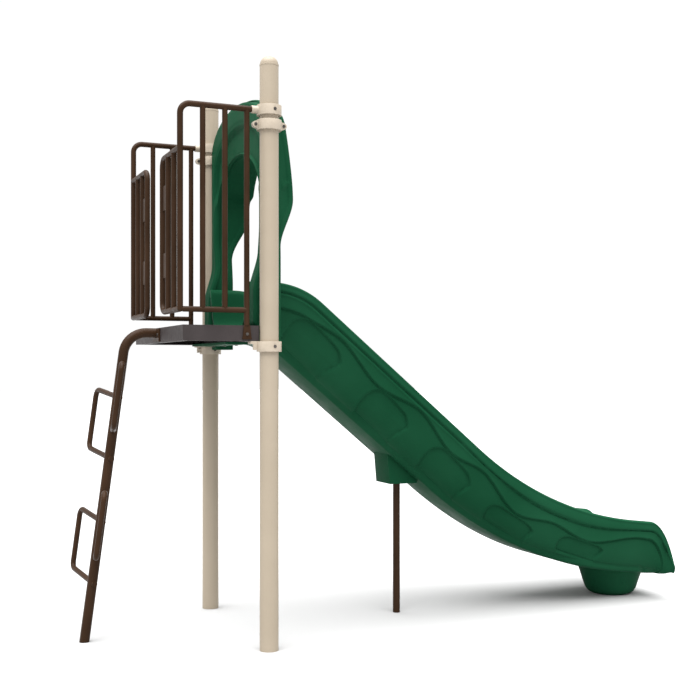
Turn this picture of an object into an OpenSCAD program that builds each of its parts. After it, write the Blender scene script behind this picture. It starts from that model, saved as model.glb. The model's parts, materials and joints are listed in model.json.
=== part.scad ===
// Wave slide: a free-standing playground slide. Two steel posts carry a small
// deck, two barriers and a moulded hood. A moulded slide with tall side walls
// runs down from the deck, and a single-pole climber leads up to it.
//
// +X is down the slide, +Y is across it and +Z is up, and the ground is at
// Z = 0. The modules measure X from the two posts, and the last section moves
// the whole slide so that the origin is in the middle of its footprint.
// Lengths are in millimetres.

/* [Posts] */
// Outer diameter of the posts
post_od = 88.9; // [76:0.1:110]
// Wall of the posts
post_wall = 3.2; // [2:0.1:6]
// Height of the posts above the deck, without their caps
post_up = 1219; // [1190:1:1600]
// Distance between the two post axes
post_gap = 1003; // [900:1:1300]
// Rise of a post cap above the post
cap_rise = 46; // [20:1:60]
// Length of the cap's plug inside the post
cap_plug = 30; // [15:1:60]

/* [Deck] */
// Height of the deck's walking surface
deck_h = 1524; // [1200:1:2000]
// Reach of the deck in front of the post axes
deck_reach = 414; // [340:1:700]
// Depth of the deck's fascia
fascia_h = 73; // [50:1:110]
// Thickness of the deck's coated sheet
deck_t = 5; // [3:0.5:8]
// Width of the lip that returns under the fascia
lip_w = 34; // [26:1:50]
// Diameter of the drain holes in the deck
drain_d = 14; // [6:1:20]
// Pitch of the drain holes
drain_pitch = 44; // [30:1:80]
// Gap between a post and the deck
deck_clear = 6; // [2:1:20]

/* [Barriers] */
// Outer diameter of the barrier rails and pickets
rail_od = 28; // [22:0.5:34]
// Height of the top rail above the deck
guard_h = 1009; // [900:1:1200]
// Height of the bottom rail above the deck
guard_low = 71; // [45:1:90]
// Bend radius of the barrier's corner
guard_bend = 46; // [34:1:90]
// Distance from a post axis to the barrier's front upright
guard_reach = 427; // [350:1:700]
// Distance from a post axis to the end of the top rail
rail_stop = 88; // [80:1:140]
// Pickets in each barrier
picket_count = 3; // [2:1:6]
// Distance from a post axis to the rear picket
picket_rear = 110; // [95:1:180]
// Reach of a wing, from the barrier to its outer upright
wing_reach = 336; // [200:1:380]
// Height of the wing's top rail above the deck
wing_h = 806; // [600:1:900]
// Pickets in each wing
wing_pickets = 2; // [1:1:4]
// Height of a wing tab
tab_h = 118; // [60:1:160]
// Thickness of the flat steel used for tabs and lugs
plate_t = 8; // [5:0.5:12]
// Width of the lug at the foot of the rear picket
lug_w = 46; // [40:1:70]

/* [Clamps] */
// Wall of the cast clamps
clamp_t = 14; // [10:0.5:20]
// Height of the clamps
clamp_h = 48; // [36:1:70]
// Height of the hood clamp above the deck
hood_clamp_up = 940; // [800:1:960]
// Diameter of the clamp bolts
bolt_d = 8; // [6:1:10]
// Fit between a clamp and its post
clamp_fit = 0.3; // [0.2:0.1:1]

/* [Hood] */
// Height of the hood's crown above the deck
hood_h = 1152; // [1000:1:1300]
// Height of the straight part of the hood's legs above the deck
hood_spring = 966; // [700:1:1000]
// Width of a hood leg, across the slide
hood_leg_w = 100; // [60:1:130]
// Height of the top of the hood's opening above the deck
hood_open_h = 887; // [800:1:960]
// Height above the deck where the opening starts to arch
hood_open_spring = 600; // [500:1:700]
// Depth of the hood below the deck's surface
hood_drop = 99; // [80:1:120]
// Front of the hood, measured from the post axis
hood_front = 12; // [0:1:30]
// How far the hood's wings bulge down the slide
hood_bulge = 168; // [100:1:220]
// Depth of a hood leg at the deck
hood_depth = 84; // [60:1:120]

/* [Slide] */
// Height of the side walls above the bed
wall_h = 221; // [160:1:260]
// Depth of the underside below the bed, on the slope
under_h = 79; // [60:1:110]
// Depth of the underside below the bed, at the exit
exit_under_h = 86; // [60:1:120]
// Thickness of the moulded side walls
side_t = 52; // [40:1:70]
// Slope of the slide in degrees
slope = 40; // [32:0.5:45]
// Slope of the exit in degrees
exit_slope = 7; // [0:0.5:9]
// Radius of the bed at the top of the slope
top_bend = 190; // [180:1:400]
// Radius of the bed at the foot of the slope
exit_bend = 2130; // [1200:10:2600]
// Length of straight bed before the nose
exit_run = 110; // [40:1:400]
// Height of the bed above the ground where the nose starts
exit_h = 235; // [190:1:300]
// Length of the rounded nose
nose_l = 205; // [120:1:260]
// Distance from the post axes to the top of the slope
bend_x = 76; // [40:1:150]
// Length of the entry flange under the deck
tongue_l = 104; // [60:1:140]

/* [Supports] */
// Outer diameter of the support leg
leg_od = 38; // [30:0.5:50]
// Distance from the post axes to the support leg
leg_x = 900; // [600:1:1000]
// Length of the block that holds the leg, along the slide
block_l = 160; // [110:1:200]
// Width of the block
block_w = 180; // [110:1:240]
// Distance from the bed down to the block's underside, at the leg
block_drop = 184.6; // [140:0.1:200]
// Depth of the leg in the block
leg_socket = 60; // [30:1:70]
// Radius of the exit foot on the ground
foot_r = 112; // [80:1:140]
// Radius of the exit foot at the slide
foot_top_r = 190; // [150:1:190]
// Distance from the centre of the foot to the start of the nose
foot_back = 7; // [7:1:140]

/* [Climber] */
// Outer diameter of the climber's pole
pole_od = 48.3; // [40:0.1:60]
// Distance from the post axes to the foot of the pole
pole_foot = 772; // [700:1:900]
// Lean of the pole in degrees
pole_lean = 7.7; // [4:0.1:10]
// Bend radius of the pole
pole_bend = 112; // [90:1:160]
// Diameter of the step loops
step_od = 27; // [20:0.5:34]
// Reach of a step loop to the side
step_reach = 280; // [200:1:340]
// Reach of a step loop away from the deck
step_back = 50; // [20:1:90]
// Rise of a step loop towards its outer bar
step_rise = 33; // [0:1:60]
// Height of a step loop
step_h = 300; // [220:1:340]
// Height of the lowest step on the far side
step_first = 284; // [200:1:400]
// Distance from the deck down to the top of the highest step
step_top = 205; // [150:1:300]
// Rise from a far step to the near step beside it
step_stagger = 132; // [60:1:200]

/* [Hidden] */

// Clearances that hold the pieces apart
skin = 0.3;
weld = 0.1;

// Colours
post_colour = [0.80, 0.74, 0.66];
cast_colour = [0.88, 0.83, 0.77];
rail_colour = [0.25, 0.18, 0.14];
deck_colour = [0.25, 0.23, 0.23];
moulded_colour = [0.08, 0.33, 0.20];
bolt_colour = [0.35, 0.35, 0.36];

// Places that follow from the sizes above
post_y = post_gap / 2;
post_r = post_od / 2;
post_h = deck_h + post_up;
rail_r = rail_od / 2;
deck_rear = -(post_r + deck_clear);
deck_low = deck_h - fascia_h;
ring_r = post_r + clamp_t;
hood_pad = 3;
hood_y = post_y - ring_r - hood_pad;
slide_half = hood_y - hood_leg_w - 0.5;
deck_clamp_z = deck_low - clamp_h / 2 - 1;
rail_z = deck_h + guard_h;
low_rail_z = deck_h + guard_low;
hood_clamp_z = deck_h + hood_clamp_up;
guard_x = -guard_reach;
wing_z = deck_h + wing_h;
picket_step = (guard_reach - picket_rear) / picket_count;
wing_step = wing_reach / (wing_pickets + 1);
head_d = bolt_d * 1.8;
head_h = bolt_d * 0.55;

$fn = 48;

// ---- helpers ----

// Calls its children once on the near side and once mirrored to the far side.
module on_side(far) {
  if (far) mirror([0, 1, 0]) children();
  else children();
}

// A round bar between two points.
module bar(a, b, d) {
  v = b - a;
  l = norm(v);
  translate(a) rotate([0, acos(v[2] / l), atan2(v[1], v[0])]) cylinder(h = l, d = d);
}

// A bent piece of tube in the XZ plane: its centre is at the origin, and it
// turns from one angle to another about Y.
module elbow(radius, d, from, to) {
  rotate([90, 0, 0]) rotate([0, 0, from])
    rotate_extrude(angle = to - from, $fn = 96) translate([radius, 0]) circle(d = d, $fn = 48);
}

// Stations round a corner that a bar bends at, each a point and a direction. It
// comes in along a and leaves along b, and both have length 1.
function rounded_corner(corner, a, b, radius, steps) =
  let (
    turn = acos(a * b),
    side = (b - (a * b) * a) / norm(b - (a * b) * a),
    start = corner - radius * tan(turn / 2) * a
  )
  [for (i = [0:steps]) let (t = turn * i / steps)
    [start + radius * (sin(t) * a + (1 - cos(t)) * side), cos(t) * a + sin(t) * side]];

// A round bar along stations that lie in one plane, with that plane's normal.
module bent_bar(path, normal, d, sides) {
  sweep([for (s = path) let (u = cross(normal, s[1]))
    [for (k = [0:sides - 1]) let (a = 360 * k / sides) s[0] + d / 2 * (cos(a) * normal + sin(a) * u)]]);
}

// Skins a list of rings that have the same number of points, with flat ends.
module sweep(rings) {
  n = len(rings[0]);
  m = len(rings);
  polyhedron(
    points = [for (r = rings) each r],
    faces = concat(
      [[for (j = [0:n - 1]) j]],
      [for (i = [0:m - 2], j = [0:n - 1]) let (a = i * n + j, b = i * n + (j + 1) % n) each
        [[a, a + n, b], [b, a + n, b + n]]],
      [[for (j = [n - 1:-1:0]) (m - 1) * n + j]]));
}

// A clamp ring around a post axis at the origin, centred on Z = 0.
module ring() {
  difference() {
    cylinder(h = clamp_h, r = ring_r, center = true, $fn = 72);
    cylinder(h = clamp_h + 2, r = post_r + clamp_fit, center = true, $fn = 72);
  }
}

// A box that runs from one corner to the opposite one.
module block(a, b) {
  translate(a) cube(b - a);
}

// ---- posts ----

module post() {
  color(post_colour) difference() {
    cylinder(h = post_h, r = post_r, $fn = 96);
    translate([0, 0, -1]) cylinder(h = post_h + 2, r = post_r - post_wall, $fn = 96);
  }
}

// Domed cap with a plug: the dome is a flattened quarter round.
module post_cap() {
  bore_r = post_r - post_wall;
  dome_r = post_r - 1.5;
  color(post_colour) translate([0, 0, post_h]) rotate_extrude($fn = 96) polygon(concat(
    [[0, -cap_plug], [bore_r - 1.5, -cap_plug], [bore_r - skin, -cap_plug + 2], [bore_r - skin, 0],
     [post_r + 1, 0], [post_r + 1, 7], [dome_r, 8.5]],
    [for (a = [10:10:80]) [dome_r * cos(a), 8.5 + (cap_rise - 8.5) * sin(a)]],
    [[0, cap_rise]]));
}

// ---- deck ----

// Coated steel pan: a drained top, a fascia on all four sides and a return lip.
module deck_pan() {
  lug_z = deck_h - fascia_h / 2 - 4;
  columns = floor((deck_reach + deck_rear - 60) / drain_pitch);
  rows = floor((post_gap - 150) / drain_pitch);
  mid_x = (deck_rear - deck_reach) / 2;
  color(deck_colour) difference() {
    block([-deck_reach, -post_y, deck_low], [deck_rear, post_y, deck_h]);
    block([-deck_reach + deck_t, -post_y + deck_t, deck_low + deck_t],
          [deck_rear - deck_t, post_y - deck_t, deck_h - deck_t]);
    block([-deck_reach + lip_w, -post_y + lip_w, deck_low - 1],
          [deck_rear - lip_w, post_y - lip_w, deck_low + deck_t + 1]);
    for (i = [0:columns], j = [0:rows])
      translate([mid_x + (i - columns / 2) * drain_pitch, (j - rows / 2) * drain_pitch, deck_h - deck_t - 1])
        cylinder(h = deck_t + 2, d = drain_d, $fn = 24);
    for (side = [-1, 1])
      translate([-picket_rear, side * (post_y - deck_t / 2), lug_z]) rotate([90, 0, 0])
        cylinder(h = deck_t + 2, d = bolt_d + 1, center = true);
    for (side = [-1, 1])
      translate([-deck_reach + deck_t / 2, side * plate_bolt_y, plate_z]) rotate([0, 90, 0])
        cylinder(h = deck_t + 2, d = bolt_d + 1, center = true);
    for (side = [-1, 1])
      translate([deck_screw_x, side * deck_screw_y, deck_low + deck_t / 2])
        cylinder(h = deck_t + 2, d = bolt_d + 1, center = true);
    for (y = tongue_bolts)
      translate([tongue_bolt_x, y, deck_low + deck_t / 2])
        cylinder(h = deck_t + 2, d = bolt_d + 1, center = true);
  }
}

deck_screw_x = deck_rear - lip_w / 2;
deck_screw_y = post_y - lip_w / 2 - 2;

// Two channels under the walking surface.
module deck_stiffeners() {
  wide = 40;
  deep = 30;
  length = post_gap - 2 * deck_t - 2 * weld;
  color(deck_colour) for (k = [1, 2])
    translate([-deck_reach + k * (deck_reach + deck_rear) / 3, 0, deck_h - deck_t - weld]) difference() {
      translate([-wide / 2, -length / 2, -deep]) cube([wide, length, deep]);
      translate([-wide / 2 + 4, -length / 2 - 1, -deep - 1]) cube([wide - 8, length + 2, deep - 3]);
    }
}

// ---- clamps ----

// The bolts of an arm clamp run across the band, near the split.
clamp_split = 26;
clamp_bolt_x = 10;

module bolt_pockets() {
  for (side = [-1, 1]) translate([clamp_bolt_x, side * ring_r, 0]) rotate([90, 0, 0]) {
    cylinder(h = 2 * clamp_t + 20, d = bolt_d + 0.6, center = true);
    cylinder(h = 14, d = head_d + 1, center = true);
  }
}

module clamp_half(front) {
  difference() {
    ring();
    if (front) block([clamp_split, -ring_r - 1, -clamp_h], [ring_r + 1, ring_r + 1, clamp_h]);
    else block([-ring_r - 1, -ring_r - 1, -clamp_h], [clamp_split + skin, ring_r + 1, clamp_h]);
    bolt_pockets();
  }
}

// Arm of the rail clamp: a spigot that butts against the end of the top rail.
module rail_clamp_arm() {
  color(cast_colour) difference() {
    union() {
      clamp_half(true);
      translate([-rail_stop + skin, 0, 0]) rotate([0, 90, 0]) cylinder(h = rail_stop - post_r, d = rail_od + 8);
    }
    cylinder(h = clamp_h + 2, r = post_r + clamp_fit, center = true, $fn = 72);
    bolt_pockets();
  }
}

module clamp_strap() {
  color(cast_colour) clamp_half(false);
}

// Arm of the deck clamp: a foot that reaches under the deck's lip.
module deck_clamp_arm() {
  color(cast_colour) difference() {
    union() {
      clamp_half(true);
      block([deck_screw_x - 24, 0, clamp_h / 2 - 12], [-post_r * 0.6, deck_screw_in + 22, clamp_h / 2 + 1 - skin]);
      block([deck_screw_x - 10, 0, -clamp_h / 2 + 8], [-post_r * 0.6, 10, clamp_h / 2 - 10]);
    }
    cylinder(h = 2 * clamp_h, r = post_r + clamp_fit, center = true, $fn = 72);
    translate([deck_screw_x, deck_screw_in, 0]) cylinder(h = clamp_h, d = bolt_d + 1);
    bolt_pockets();
  }
}

deck_screw_in = post_y - deck_screw_y;

// The hood clamp splits in the plane of the posts and has ears on both sides.
ear_x = ring_r + 11;

module hood_clamp_half(outer) {
  difference() {
    union() {
      ring();
      for (side = [-1, 1]) hull() {
        translate([side * ear_x, 0, 0]) rotate([90, 0, 0]) cylinder(h = 22, d = 30, center = true, $fn = 32);
        translate([side * (post_r + clamp_t / 2), 0, 0]) cube([4, 22, clamp_h - 6], center = true);
      }
      if (!outer) block([-22, ring_r - 6, -clamp_h / 2 + 4], [22, ring_r + hood_pad - skin, clamp_h / 2 - 4]);
    }
    cylinder(h = clamp_h + 2, r = post_r + clamp_fit, center = true, $fn = 72);
    if (outer) block([-2 * ring_r, -skin / 2, -clamp_h], [2 * ring_r, 2 * ring_r, clamp_h]);
    else block([-2 * ring_r, -2 * ring_r, -clamp_h], [2 * ring_r, skin / 2, clamp_h]);
    for (side = [-1, 1]) translate([side * ear_x, 0, 0]) rotate([90, 0, 0])
      cylinder(h = 60, d = bolt_d + 0.6, center = true);
  }
}

// ---- barriers ----

// Top rail, rounded corner and front upright, in one bent tube.
module barrier_hoop() {
  corner = [guard_x + guard_bend, -post_y, rail_z - guard_bend];
  color(rail_colour) {
    translate(corner) elbow(guard_bend, rail_od, 90, 180);
    bar([corner[0], -post_y, rail_z], [-rail_stop, -post_y, rail_z], rail_od);
    bar([guard_x, -post_y, low_rail_z], [guard_x, -post_y, corner[2]], rail_od);
    translate([guard_x, -post_y, low_rail_z]) sphere(d = rail_od);
  }
}

module rail_cut(z) {
  translate([guard_x, -post_y, z]) rotate([0, 90, 0]) cylinder(h = guard_reach, r = rail_r + weld);
}

module barrier_pickets() {
  color(rail_colour) difference() {
    for (k = [0:picket_count - 1]) {
      x = -picket_rear - k * picket_step;
      bottom = k == 0 ? deck_h - 6 : low_rail_z;
      bar([x, -post_y, bottom], [x, -post_y, rail_z], rail_od - 2);
    }
    rail_cut(rail_z);
    difference() {
      rail_cut(low_rail_z);
      block([-picket_rear - rail_od, -post_y - rail_od, low_rail_z - rail_od],
            [0, -post_y + rail_od, low_rail_z + rail_od]);
    }
    block([-picket_rear - rail_od, -post_y - rail_od, deck_h - 20],
          [-picket_rear + rail_od, -post_y + rail_od, deck_h + skin]);
  }
}

module bottom_rail() {
  color(rail_colour) difference() {
    bar([guard_x, -post_y, low_rail_z], [-picket_rear, -post_y, low_rail_z], rail_od - 2);
    translate([guard_x, -post_y, deck_h]) cylinder(h = guard_h, r = rail_r + weld);
    translate([guard_x, -post_y, low_rail_z]) sphere(r = rail_r + weld);
    translate([guard_x, -post_y, low_rail_z]) rotate([-90, 0, 0]) cylinder(h = wing_reach, r = rail_r + weld);
    translate([-picket_rear, -post_y, deck_h]) cylinder(h = guard_h, r = rail_r - 1 + weld);
  }
}

// Flat lug that the rear picket stands on. It is bolted to the deck's fascia.
module barrier_lug() {
  top = deck_h - 1;
  low = deck_low + 8;
  color(rail_colour) difference() {
    union() {
      translate([-picket_rear, -post_y - skin, 0]) rotate([90, 0, 0]) linear_extrude(height = plate_t)
        polygon([[-lug_w / 2, low], [lug_w / 2, low], [lug_w / 2 - 3, low + 14], [14, top], [-14, top],
                 [-lug_w / 2 + 3, low + 14]]);
      block([-picket_rear - 14, -post_y - plate_t - skin, top - 3], [-picket_rear + 14, -post_y + 13, deck_h]);
    }
    block([-picket_rear - 20, -post_y - skin, deck_low], [-picket_rear + 20, -post_y + 14, deck_h - 0.001]);
    translate([-picket_rear, -post_y, deck_h - fascia_h / 2 - 4]) rotate([90, 0, 0])
      cylinder(h = 40, d = bolt_d + 1, center = true);
  }
}

// Wing: a bent tube that turns inward beside the climber's opening.
module wing_hoop() {
  end = -post_y + wing_reach;
  inner = end - guard_bend;
  color(rail_colour) difference() {
    translate([guard_x, 0, 0]) {
      bar([0, -post_y, wing_z], [0, inner, wing_z], rail_od);
      bar([0, -post_y, low_rail_z], [0, inner, low_rail_z], rail_od);
      bar([0, end, low_rail_z + guard_bend], [0, end, wing_z - guard_bend], rail_od);
      translate([0, inner, wing_z - guard_bend]) rotate([0, 0, 90]) elbow(guard_bend, rail_od, 0, 90);
      translate([0, inner, low_rail_z + guard_bend]) rotate([0, 0, 90]) elbow(guard_bend, rail_od, 270, 360);
    }
    translate([guard_x, -post_y, low_rail_z]) cylinder(h = guard_h, r = rail_r + weld);
    translate([guard_x, -post_y, low_rail_z]) sphere(r = rail_r + weld);
  }
}

module wing_pickets() {
  color(rail_colour) difference() {
    for (k = [1:wing_pickets])
      bar([guard_x, -post_y + k * wing_step, low_rail_z], [guard_x, -post_y + k * wing_step, wing_z], rail_od - 2);
    for (z = [low_rail_z, wing_z]) translate([guard_x, -post_y, z]) rotate([-90, 0, 0])
      cylinder(h = wing_reach, r = rail_r + weld);
  }
}

// Short flat bars between the wing's outer upright and the picket beside it.
module wing_tabs() {
  outer = -post_y + wing_reach;
  color(rail_colour) for (up = [0.22, 0.66])
    difference() {
      block([guard_x - 3, outer - wing_step, low_rail_z + up * (wing_z - low_rail_z)],
            [guard_x + 3, outer, low_rail_z + up * (wing_z - low_rail_z) + tab_h]);
      translate([guard_x, outer, low_rail_z]) cylinder(h = wing_h, r = rail_r + weld);
      translate([guard_x, outer - wing_step, low_rail_z]) cylinder(h = wing_h, r = rail_r - 1 + weld);
    }
}

// ---- slide ----

// Bed line, in the XZ plane: level entry, bend, slope, wide bend and exit.
slope_l = (deck_h - exit_h - top_bend * (1 - cos(slope)) - exit_bend * (cos(exit_slope) - cos(slope))
  - exit_run * sin(exit_slope)) / sin(slope);
slope_top = [bend_x + top_bend * sin(slope), deck_h - top_bend * (1 - cos(slope))];
slope_end = slope_top + slope_l * [cos(slope), -sin(slope)];
exit_start = slope_end + exit_bend * [sin(slope) - sin(exit_slope), cos(slope) - cos(exit_slope)];
nose_start = exit_start + exit_run * [cos(exit_slope), -sin(exit_slope)];
nose_x = nose_start[0];

entry_steps = 4;
top_steps = 12;
slope_steps = 14;
bend_steps = 26;
run_steps = 3;
nose_steps = 14;

// Each station of the bed is [x, z, angle below level].
stations = concat(
  [for (i = [0:entry_steps - 1]) [mix(deck_rear, bend_x, i / entry_steps), deck_h, 0]],
  [for (i = [0:top_steps - 1]) let (a = slope * i / top_steps)
    [bend_x + top_bend * sin(a), deck_h - top_bend * (1 - cos(a)), a]],
  [for (i = [0:slope_steps - 1]) let (p = slope_top + (slope_end - slope_top) * i / slope_steps)
    [p[0], p[1], slope]],
  [for (i = [0:bend_steps - 1]) let (a = slope + (exit_slope - slope) * i / bend_steps)
    [slope_end[0] + exit_bend * (sin(slope) - sin(a)), slope_end[1] + exit_bend * (cos(slope) - cos(a)), a]],
  [for (i = [0:run_steps]) let (p = exit_start + (nose_start - exit_start) * i / run_steps)
    [p[0], p[1], exit_slope]]);

function smooth(t) = let (u = max(0, min(1, t))) u * u * (3 - 2 * u);
function mix(a, b, t) = a + (b - a) * t;
function bezier(a, b, c, t) = (1 - t) * (1 - t) * a + 2 * t * (1 - t) * b + t * t * c;

// Share of the way from the slope to the nose.
function exit_share(x) = smooth((x - slope_end[0]) / (nose_x - slope_end[0]) * 1.15);

// Depth of the underside at a station. At the entry it is level with the deck's.
function under(s) =
  s[0] < slope_top[0]
  ? mix(fascia_h, under_h, smooth((s[0] - deck_rear) / (slope_top[0] - deck_rear)))
  : mix(under_h, exit_under_h, exit_share(s[0]));

// The nose: the rim curls down in front, and the bed rolls over with it.
nose_up = [sin(exit_slope), cos(exit_slope)];
nose_rim = nose_start + wall_h * nose_up;
nose_low = nose_start - exit_under_h * nose_up;
nose_tip = [nose_x + nose_l, nose_low[1] + 36];
function nose(t) = [
  bezier(nose_low, nose_low + [nose_l * 0.5, -nose_l * 0.06], [nose_x + nose_l - 30, nose_low[1] - 8], t),
  bezier(nose_start, nose_start + [nose_l * 0.62, -8], [nose_x + nose_l - 8, nose_low[1] + 24], t),
  bezier(nose_rim, [nose_x + nose_l * 0.64, nose_rim[1] - 4], nose_tip, t)
];

// Bottom, bed and rim of each station in the XZ plane.
lines = concat(
  [for (s = stations) let (up = [sin(s[2]), cos(s[2])], p = [s[0], s[1]])
    [p - under(s) * up, p, p + wall_h * up]],
  [for (i = [1:nose_steps]) let (t = i / nose_steps) nose(t)]);

// Half of the cross-section, from the middle of the underside round the side
// and the rim to the middle of the bed. The side is rounder on the slope than
// at the exit, as round tells.
function half_section(bottom, bed, rim, round) =
  let (
    h = norm(rim - bottom),
    b = norm(bed - bottom),
    w = slide_half,
    q = min(1, max(1, h - b) / 130)
  )
  [
    [0, 0],
    [0.5 * (w - 214 * round), 0],
    [w - 214 * round, 0],
    [w - 150 * round, h * 0.04],
    [w - 95 * round, h * 0.15],
    [w - 55 * round, h * 0.333],
    [w - 28 * round, h * 0.567],
    [w - 13, h - 74 * q],
    [w - 9, h - 62 * q],
    [w - 1.5, h - 54 * q],
    [w, h - 36 * q],
    [w - 2, h - 20 * q],
    [w - 9, h - 8 * q],
    [w - 20, h - 1 * q],
    [w - 32, h - 1.5 * q],
    [w - 43, h - 10 * q],
    [w - side_t, h - 26 * q],
    [w - side_t - 10, mix(b, h, 0.45)],
    [w - side_t - 24, mix(b, h, 0.2)],
    [w - side_t - 48, mix(b, h, 0.07)],
    [w - side_t - 92, mix(b, h, 0.012)],
    [0, b]
  ];

// The same outline on both sides, walked once round.
function section(half) = concat(
  half,
  [for (i = [len(half) - 2:-1:1]) [-half[i][0], half[i][1]]]);

exit_round = 0.6;

slide_rings = [for (l = lines)
  let (up = (l[2] - l[0]) / norm(l[2] - l[0]))
  [for (p = section(half_section(l[0], l[1], l[2], mix(1, exit_round, exit_share(l[1][0])))))
    [l[0][0] + up[0] * p[1], p[0], l[0][1] + up[1] * p[1]]]];

tongue_bolt_x = deck_rear - lip_w / 2;
tongue_bolts = [-200, 0, 200];
flange_t = 10.7;
flange_end = deck_rear + 14;

module slide_body() {
  color(moulded_colour) sweep(slide_rings);
}

// Flange under the deck's rear lip and the slide's entry.
module entry_flange() {
  color(moulded_colour) difference() {
    block([deck_rear - tongue_l, -slide_half + 30, deck_low - skin - flange_t],
          [flange_end, slide_half - 30, deck_low - skin]);
    for (y = tongue_bolts) translate([tongue_bolt_x, y, deck_low - 40]) cylinder(h = 60, d = bolt_d + 1);
  }
}

// Height of the bed on the slope or the exit bend, at a distance from the posts.
function bed_z(x) =
  x < slope_end[0]
  ? slope_top[1] - (x - slope_top[0]) * tan(slope)
  : slope_end[1] + exit_bend * cos(slope) - sqrt(pow(exit_bend, 2) - pow(slope_end[0] + exit_bend * sin(slope) - x, 2));

// Everything above the slide's underside, less a small gap. Pieces that seat
// under the slide are cut with it.
module above_underside() {
  low = [for (l = lines) l[0] - [0, skin]];
  rotate([90, 0, 0]) linear_extrude(height = 2 * slide_half, center = true)
    polygon(concat(low, [[nose_x + 400, deck_h + 400], [deck_rear, deck_h + 400]]));
}

// ---- supports ----

block_low = bed_z(leg_x) - block_drop;

// Moulded block under the bed, with a socket for the leg.
module leg_block() {
  half = block_l / 2;
  color(moulded_colour) difference() {
    rotate([90, 0, 0]) linear_extrude(height = block_w, center = true)
      polygon([[leg_x - half, block_low], [leg_x + half, block_low],
               [leg_x + half + 12, block_low + 300], [leg_x - half - 26, block_low + 300]]);
    above_underside();
    translate([leg_x, 0, block_low - 1]) cylinder(h = leg_socket + 1, d = leg_od + 2 * skin);
    for (side = [-1, 1]) translate([leg_x, side * (block_w / 2 - 24), block_low - 1]) {
      cylinder(h = 71, d = bolt_d + 1);
      cylinder(h = 1 + head_h + 4, d = head_d + 6);
    }
  }
}

module block_screws() {
  color(bolt_colour) for (side = [-1, 1]) translate([leg_x, side * (block_w / 2 - 24), block_low + head_h + 3]) {
    translate([0, 0, skin - head_h]) cylinder(h = head_h, d = head_d);
    translate([0, 0, skin]) cylinder(h = 56, d = bolt_d);
  }
}

module support_leg() {
  color(rail_colour) difference() {
    cylinder_at(leg_x, block_low + leg_socket - skin, leg_od);
    translate([0, 0, -1]) cylinder_at(leg_x, block_low + leg_socket, leg_od - 6);
  }
}

module cylinder_at(x, h, d) {
  translate([x, 0, 0]) cylinder(h = h, d = d);
}

// Moulded foot under the exit, wider at the top.
module exit_foot() {
  x = nose_x - foot_back;
  top = nose_start[1];
  color(moulded_colour) difference() {
    translate([x, 0, 0]) rotate_extrude($fn = 96)
      polygon([[0, 0], [foot_r - 8, 0], [foot_r + 4, 3], [foot_r + 22, 14],
               [foot_r + 36, 34], [foot_top_r, 160], [foot_top_r, top], [0, top]]);
    above_underside();
  }
}

// ---- hood ----

// One ring of the hood for each place along its arch. The place t runs from 0
// at the near foot to 1 at the far foot.
hood_low = deck_h - hood_drop;
hood_spring_z = deck_h + hood_spring;
hood_rise = hood_h - hood_spring;
hood_open_z = deck_h + hood_open_spring;
leg_rings = 12;
arch_rings = 16;
arch_start = 36;
hood_power = 2;

// Outer point of the arch, as [y, z]. The angle is the one round the opening,
// so the outside goes straight up for the first part.
function arch_point(a) =
  a < arch_start ? [-hood_y, mix(hood_open_z, hood_spring_z, a / arch_start)]
  : a > 90 ? [-arch_point(180 - a)[0], arch_point(180 - a)[1]]
  : let (turn = 90 * (a - arch_start) / (90 - arch_start), e = 2 / hood_power)
    [-hood_y * pow(cos(turn), e), hood_spring_z + hood_rise * pow(sin(turn), e)];

function bump(z, low, mid, high) =
  z < mid ? smooth((z - low) / (mid - low)) : smooth((high - z) / (high - mid));

// Front and rear of the hood at a height above the deck.
function hood_x(z) = [
  -hood_front - 42 * smooth((360 - z) / 200) * smooth((z + 40) / 60),
  hood_depth + (hood_bulge - hood_depth) * bump(z, 380, 625, 1150) - 34 * smooth((z - 1000) / 170)
];
function leg_t(z) = hood_leg_w - 34 * smooth((z - 250) / 250);

// Rounded section between the X limits of its outer and its inner edge. Each
// point has its X, then its share of the thickness and what is added to it.
function hood_section(outer, inner) =
  let (r = 15, n = 3)
  concat(
    [for (i = [0:n]) let (a = 90 * i / n) [outer[0] + r - r * cos(a), [0, r - r * sin(a)]]],
    [for (i = [0:n]) let (a = 90 * i / n) [outer[1] - r + r * sin(a), [0, r - r * cos(a)]]],
    [for (i = [0:n]) let (a = 90 * i / n) [inner[1] - r + r * cos(a), [1, -r + r * sin(a)]]],
    [for (i = [0:n]) let (a = 90 * i / n) [inner[0] + r - r * sin(a), [1, -r + r * cos(a)]]]);

// A ring between an outer and an inner point of the YZ plane.
function hood_ring(outer, inner) =
  let (d = inner - outer, l = norm(d), v = d / l)
  [for (p = hood_section(hood_x(outer[1] - deck_h), hood_x(inner[1] - deck_h)))
    let (q = outer + v * (p[1][0] * l + p[1][1])) [p[0], q[0], q[1]]];

near_leg_rings = [for (i = [0:leg_rings - 1])
  let (z = mix(hood_low, hood_open_z, i / leg_rings))
  hood_ring([-hood_y, z], [-hood_y + leg_t(z - deck_h), z])];

inner_half = hood_y - leg_t(hood_open_spring);
function inner_point(a) = [-inner_half * cos(a), hood_open_z + (hood_open_h - hood_open_spring) * sin(a)];

arch_list = [for (i = [0:2 * arch_rings]) let (a = 90 * i / arch_rings) hood_ring(arch_point(a), inner_point(a))];

hood_rings = concat(
  near_leg_rings,
  arch_list,
  [for (i = [leg_rings - 1:-1:0]) [for (p = near_leg_rings[i]) [p[0], -p[1], p[2]]]]);

module slide_hood() {
  color(moulded_colour) sweep(hood_rings);
}

// ---- climber ----

plate_z = deck_h - fascia_h / 2 + 2;
plate_bolt_y = 42;
plate_x = -deck_reach - skin;
pole_z = deck_h - pole_od / 2 - 1;
pole_up = [sin(pole_lean), 0, cos(pole_lean)];
pole_corner = [-pole_foot + pole_z * tan(pole_lean), pole_z];

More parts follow.
